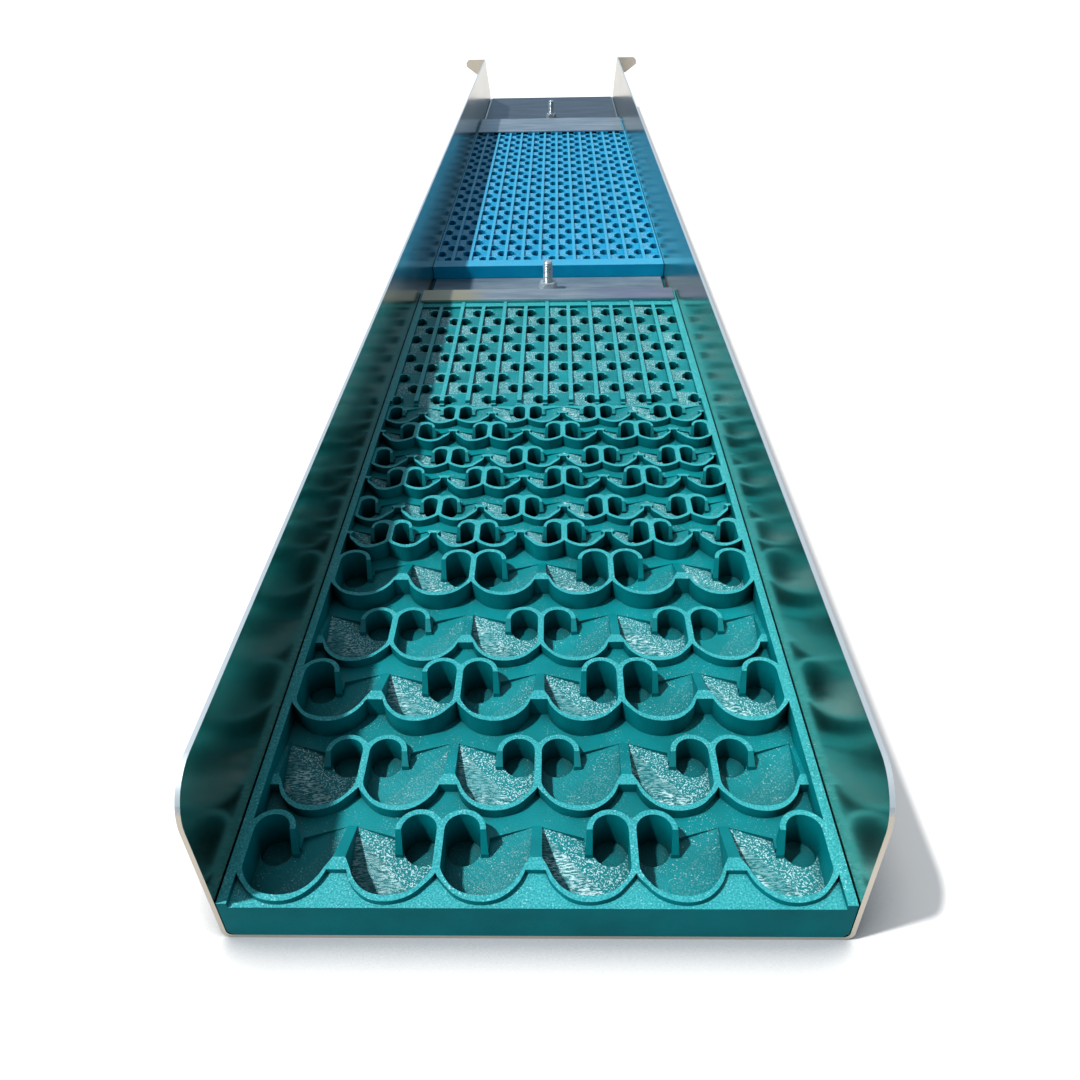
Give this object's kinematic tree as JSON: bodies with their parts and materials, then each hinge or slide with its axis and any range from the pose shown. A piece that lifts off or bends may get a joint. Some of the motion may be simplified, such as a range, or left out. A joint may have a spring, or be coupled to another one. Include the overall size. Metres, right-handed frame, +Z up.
{
  "type": "sluice box",
  "caption": "Open steel trough with coarse and fine riffle mats, each held by a folded clamp on a threaded stud and nut; water and gravel run over the mats to the exit end.",
  "frame": {"origin": "middle of the footprint at the underside of the trough floor", "axes": "+Y upstream along the trough, from the exit end to the intake end; +Z up; +X to the right when looking upstream from the exit"},
  "size_m": [0.195, 1.094, 0.054],
  "materials": {
    "trough_steel": "bright rolled stainless sheet",
    "clamp_steel": "brushed stainless sheet",
    "lower_mat_plastic": "printed, satin with fine layer lines",
    "upper_mat_plastic": "printed, satin with fine layer lines",
    "stud_steel": "bright zinc",
    "nut_steel": "bright zinc"
  },
  "bodies": {
    "trough_body": {"trough": "trough_steel", "lower_clamp_stud": "stud_steel", "intake_clamp_stud": "stud_steel"},
    "lower_mat_body": {"lower_mat": "lower_mat_plastic"},
    "upper_mat_body": {"upper_mat": "upper_mat_plastic"},
    "lower_clamp_body": {"lower_clamp_bar": "clamp_steel"},
    "intake_clamp_body": {"intake_clamp_plate": "clamp_steel"},
    "lower_nut_turning": {"lower_clamp_nut": "nut_steel"},
    "intake_nut_turning": {"intake_clamp_nut": "nut_steel"}
  },
  "joints": [
    {"name": "lower_clamp_lift", "type": "slide", "parent": "trough_body", "child": "lower_clamp_body", "axis": [0, 0, 1], "range_m": [0, 0.06]},
    {"name": "intake_clamp_lift", "type": "slide", "parent": "trough_body", "child": "intake_clamp_body", "axis": [0, 0, 1], "range_m": [0, 0.06]},
    {"name": "lower_nut_turn", "type": "hinge", "parent": "lower_clamp_body", "child": "lower_nut_turning", "pos_m": [0, -0.115, 0.005], "axis": [0, 0, 1], "continuous": true},
    {"name": "intake_nut_turn", "type": "hinge", "parent": "intake_clamp_body", "child": "intake_nut_turning", "pos_m": [0, 0.419, 0.005], "axis": [0, 0, 1], "continuous": true},
    {"name": "lower_mat_slide", "type": "slide", "parent": "trough_body", "child": "lower_mat_body", "axis": [0, -1, 0], "range_m": [0, 0.38]},
    {"name": "upper_mat_lift", "type": "slide", "parent": "trough_body", "child": "upper_mat_body", "axis": [0, 0, 1], "range_m": [0, 0.03]}
  ],
  "couplings": [
    {"joint": "upper_mat_lift", "follows": "intake_clamp_lift", "ratio": 0.5}
  ]
}
